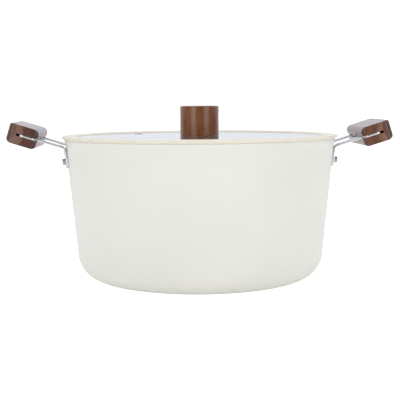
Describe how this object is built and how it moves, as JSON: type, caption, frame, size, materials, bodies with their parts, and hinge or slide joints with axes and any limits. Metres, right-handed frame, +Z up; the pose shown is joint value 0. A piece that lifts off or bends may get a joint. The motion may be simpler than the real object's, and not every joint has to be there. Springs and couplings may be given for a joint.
{
  "type": "cooking pot with glass lid",
  "caption": "Deep round cooking pot with a leaning wall, riveted steel loop handles in wooden grips, and a flat lift-off glass lid with a silicone rim, steam vent and wooden knob.",
  "frame": {"origin": "centre of the underside, on the surface that the pot stands on", "axes": "+Z up, X through both handles, -Y is the front; the steam vent lies at the back left"},
  "size_m": [0.399, 0.2912, 0.1827],
  "materials": {
    "pot_coat": "satin ceramic coat over drawn aluminium, warm off-white",
    "plate_steel": "satin magnetic steel with turned rings",
    "loop_steel": "satin stainless sheet",
    "rivet_metal": "satin",
    "screw_steel": "satin",
    "grip_wood": "walnut-brown, gloss varnish",
    "knob_wood": "walnut-brown, gloss varnish",
    "lid_glass": "clear tempered glass",
    "ring_silicone": "matte beige silicone",
    "eyelet_steel": "polished stainless",
    "gasket_silicone": "translucent silicone",
    "insert_brass": "turned",
    "bush_nylon": "natural nylon"
  },
  "bodies": {
    "pot": {"pot_body": "pot_coat", "induction_plate": "plate_steel", "left_loop": "loop_steel", "left_grip": "grip_wood", "left_front_rivet": "rivet_metal", "left_rear_rivet": "rivet_metal", "left_grip_screws": "screw_steel", "right_loop": "loop_steel", "right_grip": "grip_wood", "right_front_rivet": "rivet_metal", "right_rear_rivet": "rivet_metal", "right_grip_screws": "screw_steel"},
    "lid": {"lid_glass": "lid_glass", "lid_ring": "ring_silicone", "vent_eyelet": "eyelet_steel", "vent_washer": "eyelet_steel", "knob": "knob_wood", "knob_gasket": "gasket_silicone", "knob_insert": "insert_brass", "knob_bush": "bush_nylon", "knob_washer": "screw_steel", "knob_screw": "screw_steel"}
  },
  "joints": [
    {"name": "lid_lift", "type": "slide", "parent": "pot", "child": "lid", "axis": [0, 0, 1], "range_m": [0, 0.15]}
  ]
}
